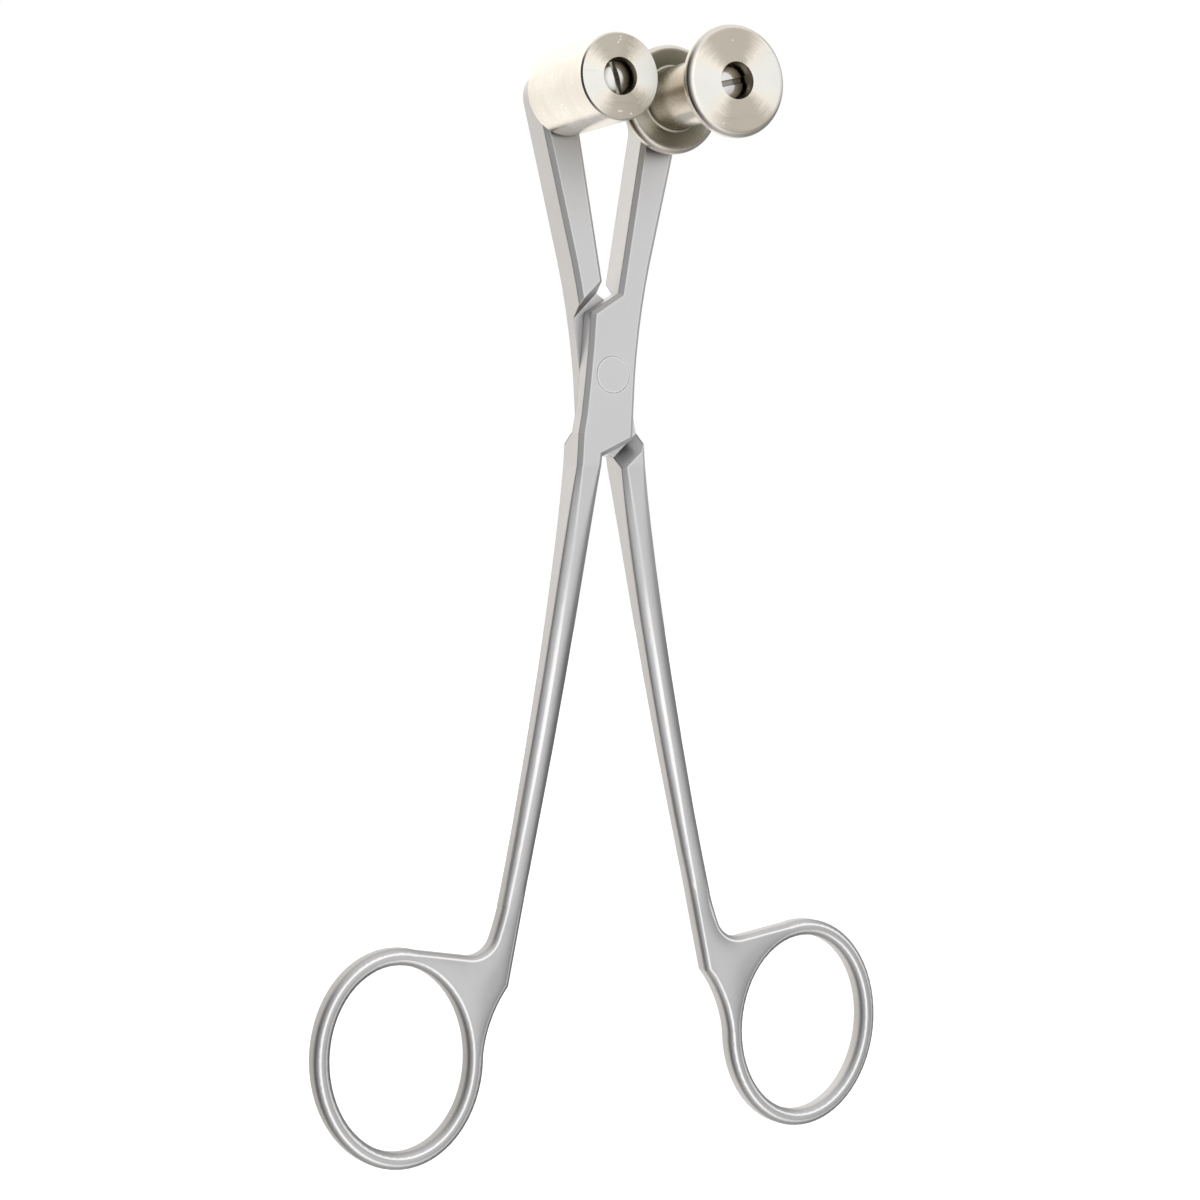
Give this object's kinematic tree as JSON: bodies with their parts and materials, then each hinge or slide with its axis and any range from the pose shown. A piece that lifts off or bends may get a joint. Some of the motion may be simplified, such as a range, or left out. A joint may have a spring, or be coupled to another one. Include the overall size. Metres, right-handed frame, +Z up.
{
  "type": "roller forceps for tubing",
  "caption": "Ring-handled steel forceps with a lap joint; a plain roller and a flanged roller stand forward from the tips to squeeze and strip flexible tubing.",
  "frame": {"origin": "on the pivot rivet's axis, at the flat back of the joint that the tool rests on (mount back_rest)", "axes": "+Z up from the finger rings to the rollers, +X to the right seen from the roller side, +Y to the rear, away from the rollers"},
  "size_m": [0.1132, 0.0329, 0.1954],
  "materials": {
    "satin_steel": "fine satin, bead blasted",
    "turned_steel": "fine turned, slightly warm",
    "axle_steel": "ground",
    "washer_steel": "plain",
    "screw_steel": "polished",
    "bronze": "plain sintered"
  },
  "bodies": {
    "rear_arm": {"rear_arm": "satin_steel", "pivot_rivet": "satin_steel", "plain_axle": "axle_steel", "plain_thrust_washer": "washer_steel", "plain_retaining_washer": "washer_steel", "plain_axle_screw": "screw_steel"},
    "front_arm": {"front_arm": "satin_steel", "flanged_axle": "axle_steel", "flanged_thrust_washer": "washer_steel", "flanged_retaining_washer": "washer_steel", "flanged_axle_screw": "screw_steel"},
    "plain_roller": {"plain_roller": "turned_steel", "plain_roller_bush": "bronze"},
    "flanged_roller": {"flanged_roller": "turned_steel", "flanged_roller_bush": "bronze"}
  },
  "joints": [
    {"name": "pivot", "type": "hinge", "parent": "rear_arm", "child": "front_arm", "pos_m": [0, 0, 0], "axis": [0, 1, 0], "range_deg": [-3, 16]},
    {"name": "plain_roller_spin", "type": "hinge", "parent": "rear_arm", "child": "plain_roller", "pos_m": [-0.00986, -0.0174, 0.0487], "axis": [0, 1, 0], "continuous": true},
    {"name": "flanged_roller_spin", "type": "hinge", "parent": "front_arm", "child": "flanged_roller", "pos_m": [0.00986, -0.0194, 0.0487], "axis": [0, 1, 0], "continuous": true}
  ]
}
